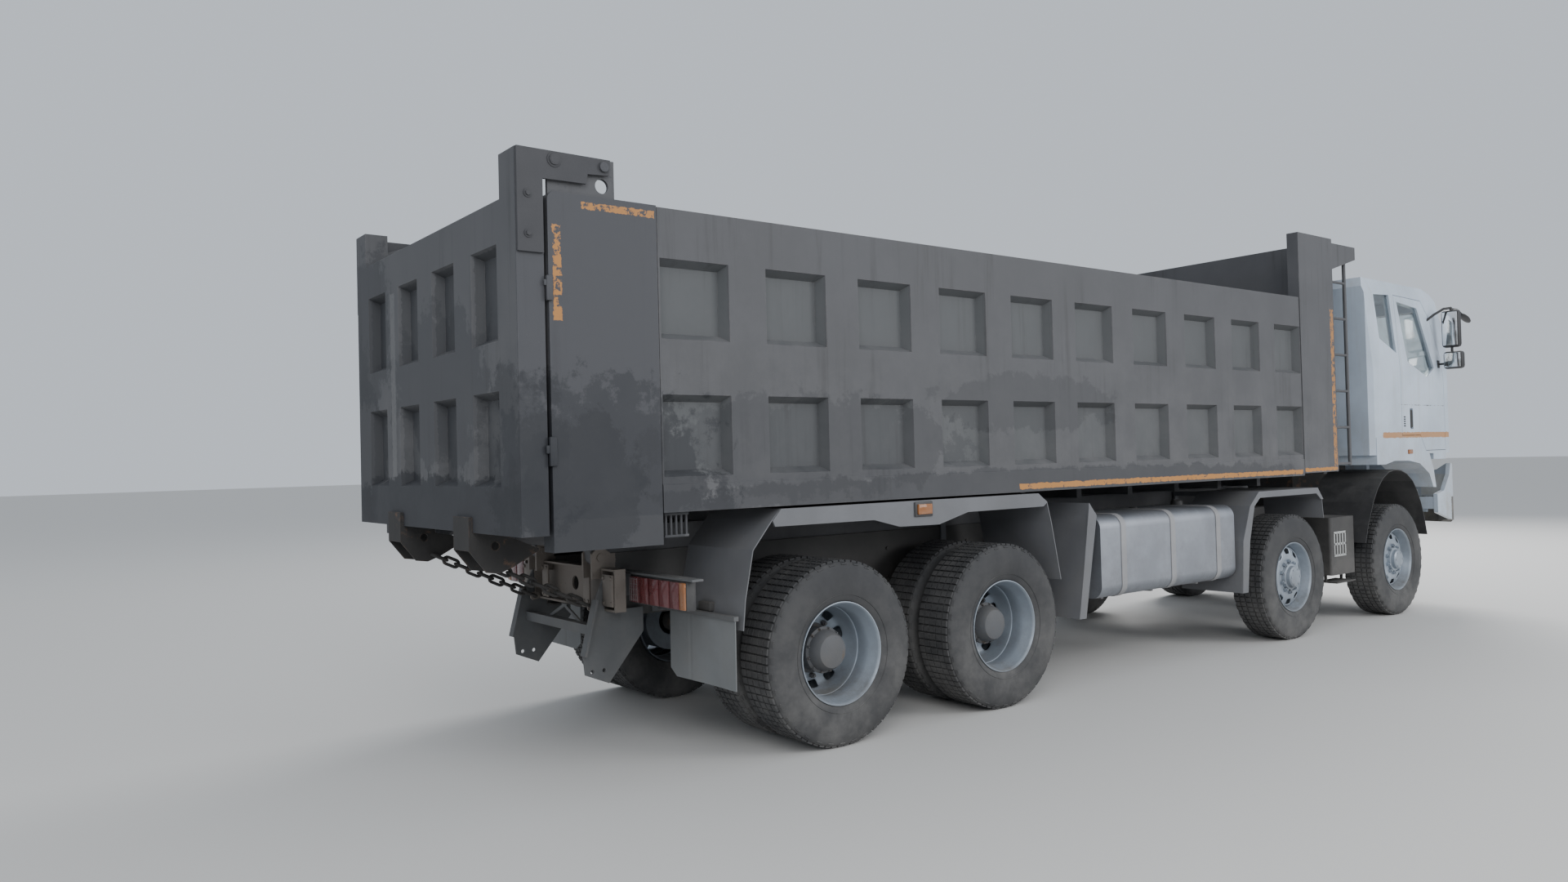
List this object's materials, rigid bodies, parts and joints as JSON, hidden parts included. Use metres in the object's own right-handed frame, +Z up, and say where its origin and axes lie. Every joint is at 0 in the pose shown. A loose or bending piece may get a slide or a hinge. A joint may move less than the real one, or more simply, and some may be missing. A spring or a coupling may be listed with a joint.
{
  "type": "dump truck",
  "caption": "Heavy four-axle dump truck with a long recessed steel load body, front hoist, top-hung tailgate, tilting cab and steered front axles.",
  "frame": {"origin": "middle of the truck's bounding box, at ground height", "axes": "+X forward towards the cab, +Y to the truck's left, +Z up"},
  "size_m": [10.58, 2.96, 3.55],
  "materials": {
    "chassis_paint": "satin black paint under dust",
    "lamp_lens": "ribbed lens plastic",
    "flap_rubber": "dusty grey rubber",
    "fender_paint": "dusty grey sheet",
    "axle_iron": "rough painted casting",
    "spring_steel": "dull black paint",
    "tank_aluminium": "brushed",
    "engine_iron": "painted casting",
    "black_plastic": "moulded grain",
    "cab_paint": "pale blue-white paint",
    "chain_steel": "worn steel with light rust",
    "body_paint": "grey paint with soot and wear",
    "hoist_paint": "grey paint",
    "hoist_chrome": "polished tube",
    "window_glass": "clear tinted",
    "seat_fabric": "woven cloth",
    "dash_plastic": "grained",
    "rim_paint": "silver paint with dust",
    "tyre_rubber": "black rubber"
  },
  "bodies": {
    "chassis": {"chassis_frame": "chassis_paint", "rear_brackets": "chassis_paint", "lamps": "lamp_lens", "mudflaps": "flap_rubber", "fenders": "fender_paint", "drive_axles": "axle_iron", "leaf_springs": "spring_steel", "fuel_tank": "tank_aluminium", "tank_straps": "chassis_paint", "air_reservoirs": "chassis_paint", "front_axle_beams": "axle_iron", "engine_block": "engine_iron", "side_boxes": "chassis_paint", "air_intake": "black_plastic", "bumper": "cab_paint", "headlamps": "lamp_lens", "wheel_housings": "black_plastic"},
    "dump_body": {"body_floor": "body_paint", "side_walls": "body_paint", "body_posts": "body_paint", "headboard": "body_paint"},
    "tailgate": {"tailgate": "body_paint", "tailgate_brackets": "body_paint"},
    "chains": {"chains": "chain_steel"},
    "cab": {"cab_shell": "cab_paint", "cab_glass": "window_glass", "grille": "black_plastic", "seats": "seat_fabric", "dashboard": "dash_plastic"},
    "door_left": {"door_left": "cab_paint", "door_glass_left": "window_glass", "mirror_left": "black_plastic"},
    "door_right": {"door_right": "cab_paint", "door_glass_right": "window_glass", "mirror_right": "black_plastic"},
    "hoist_barrel": {"hoist_barrel": "hoist_paint"},
    "hoist_stage_1": {"hoist_stage_1": "hoist_chrome"},
    "wheel_1_left": {"wheel_1_left": "rim_paint", "tyre_1_left": "tyre_rubber"},
    "wheel_1_right": {"wheel_1_right": "rim_paint", "tyre_1_right": "tyre_rubber"},
    "hoist_stage_2": {"hoist_stage_2": "hoist_chrome"},
    "wheel_2_left": {"wheel_2_left": "rim_paint", "tyre_2_left": "tyre_rubber"},
    "wheel_2_right": {"wheel_2_right": "rim_paint", "tyre_2_right": "tyre_rubber"},
    "hoist_stage_3": {"hoist_stage_3": "hoist_chrome"},
    "wheel_3_left": {"wheel_3_left": "rim_paint", "tyre_3_left": "tyre_rubber"},
    "wheel_3_right": {"wheel_3_right": "rim_paint", "tyre_3_right": "tyre_rubber"},
    "hoist_stage_4": {"hoist_stage_4": "hoist_chrome"},
    "wheel_4_left": {"wheel_4_left": "rim_paint", "tyre_4_left": "tyre_rubber"},
    "wheel_4_right": {"wheel_4_right": "rim_paint", "tyre_4_right": "tyre_rubber"},
    "knuckle_1_left": {"knuckle_1_left": "axle_iron"},
    "knuckle_1_right": {"knuckle_1_right": "axle_iron"},
    "knuckle_2_left": {"knuckle_2_left": "axle_iron"},
    "knuckle_2_right": {"knuckle_2_right": "axle_iron"}
  },
  "joints": [
    {"name": "steer_1_left", "type": "hinge", "parent": "chassis", "child": "knuckle_1_left", "pos_m": [3.83, 0.88, 0.538], "axis": [0, 0, 1], "range_deg": [-32, 32]},
    {"name": "spin_1_left", "type": "hinge", "parent": "knuckle_1_left", "child": "wheel_1_left", "pos_m": [3.83, 1.0855, 0.538], "axis": [0, 1, 0], "continuous": true},
    {"name": "steer_1_right", "type": "hinge", "parent": "chassis", "child": "knuckle_1_right", "pos_m": [3.83, -0.88, 0.538], "axis": [0, 0, 1], "range_deg": [-32, 32]},
    {"name": "spin_1_right", "type": "hinge", "parent": "knuckle_1_right", "child": "wheel_1_right", "pos_m": [3.83, -1.0855, 0.538], "axis": [0, 1, 0], "continuous": true},
    {"name": "steer_2_left", "type": "hinge", "parent": "chassis", "child": "knuckle_2_left", "pos_m": [1.83, 0.88, 0.538], "axis": [0, 0, 1], "range_deg": [-21, 21]},
    {"name": "spin_2_left", "type": "hinge", "parent": "knuckle_2_left", "child": "wheel_2_left", "pos_m": [1.83, 1.0855, 0.538], "axis": [0, 1, 0], "continuous": true},
    {"name": "steer_2_right", "type": "hinge", "parent": "chassis", "child": "knuckle_2_right", "pos_m": [1.83, -0.88, 0.538], "axis": [0, 0, 1], "range_deg": [-21, 21]},
    {"name": "spin_2_right", "type": "hinge", "parent": "knuckle_2_right", "child": "wheel_2_right", "pos_m": [1.83, -1.0855, 0.538], "axis": [0, 1, 0], "continuous": true},
    {"name": "spin_3_left", "type": "hinge", "parent": "chassis", "child": "wheel_3_left", "pos_m": [-1.91, 1.0855, 0.538], "axis": [0, 1, 0], "continuous": true},
    {"name": "spin_3_right", "type": "hinge", "parent": "chassis", "child": "wheel_3_right", "pos_m": [-1.91, -1.0855, 0.538], "axis": [0, 1, 0], "continuous": true},
    {"name": "spin_4_left", "type": "hinge", "parent": "chassis", "child": "wheel_4_left", "pos_m": [-3.31, 1.0855, 0.538], "axis": [0, 1, 0], "continuous": true},
    {"name": "spin_4_right", "type": "hinge", "parent": "chassis", "child": "wheel_4_right", "pos_m": [-3.31, -1.0855, 0.538], "axis": [0, 1, 0], "continuous": true},
    {"name": "body_tip", "type": "hinge", "parent": "chassis", "child": "dump_body", "pos_m": [-4.44, 0, 1.13], "axis": [0, -1, 0], "range_deg": [0, 48]},
    {"name": "tailgate_swing", "type": "hinge", "parent": "dump_body", "child": "tailgate", "pos_m": [-4.81, 0, 3.128], "axis": [0, 1, 0], "range_deg": [0, 75]},
    {"name": "chain_swing", "type": "hinge", "parent": "chassis", "child": "chains", "pos_m": [-4.475, 0, 0.848], "axis": [0, -1, 0], "range_deg": [0, 72]},
    {"name": "hoist_lean", "type": "hinge", "parent": "chassis", "child": "hoist_barrel", "pos_m": [3.02, 0, 1], "axis": [0, -1, 0], "range_deg": [0, 29.2]},
    {"name": "cab_tilt", "type": "hinge", "parent": "chassis", "child": "cab", "pos_m": [5.05, 0, 1.02], "axis": [0, 1, 0], "range_deg": [0, 45]},
    {"name": "door_left_swing", "type": "hinge", "parent": "cab", "child": "door_left", "pos_m": [4.98, 1.24, 2.3], "axis": [0, 0, -1], "range_deg": [0, 70]},
    {"name": "door_right_swing", "type": "hinge", "parent": "cab", "child": "door_right", "pos_m": [4.98, -1.24, 2.3], "axis": [0, 0, 1], "range_deg": [0, 70]},
    {"name": "hoist_slide_1", "type": "slide", "parent": "hoist_barrel", "child": "hoist_stage_1", "axis": [0, 0, 1], "range_m": [0, 1.4825]},
    {"name": "hoist_slide_2", "type": "slide", "parent": "hoist_stage_1", "child": "hoist_stage_2", "axis": [0, 0, 1], "range_m": [0, 1.4825]},
    {"name": "hoist_slide_3", "type": "slide", "parent": "hoist_stage_2", "child": "hoist_stage_3", "axis": [0, 0, 1], "range_m": [0, 1.4825]},
    {"name": "hoist_slide_4", "type": "slide", "parent": "hoist_stage_3", "child": "hoist_stage_4", "axis": [0, 0, 1], "range_m": [0, 1.4825]}
  ],
  "couplings": [
    {"joint": "steer_1_right", "follows": "steer_1_left", "ratio": 1},
    {"joint": "steer_2_left", "follows": "steer_1_left", "ratio": 0.65},
    {"joint": "steer_2_right", "follows": "steer_1_left", "ratio": 0.65},
    {"joint": "chain_swing", "follows": "body_tip", "ratio": 1.5},
    {"joint": "hoist_lean", "follows": "body_tip", "ratio": 0.607},
    {"joint": "hoist_slide_1", "follows": "body_tip", "m_per_rad": 1.7688},
    {"joint": "hoist_slide_2", "follows": "body_tip", "m_per_rad": 1.7688},
    {"joint": "hoist_slide_3", "follows": "body_tip", "m_per_rad": 1.7688},
    {"joint": "hoist_slide_4", "follows": "body_tip", "m_per_rad": 1.7688}
  ]
}
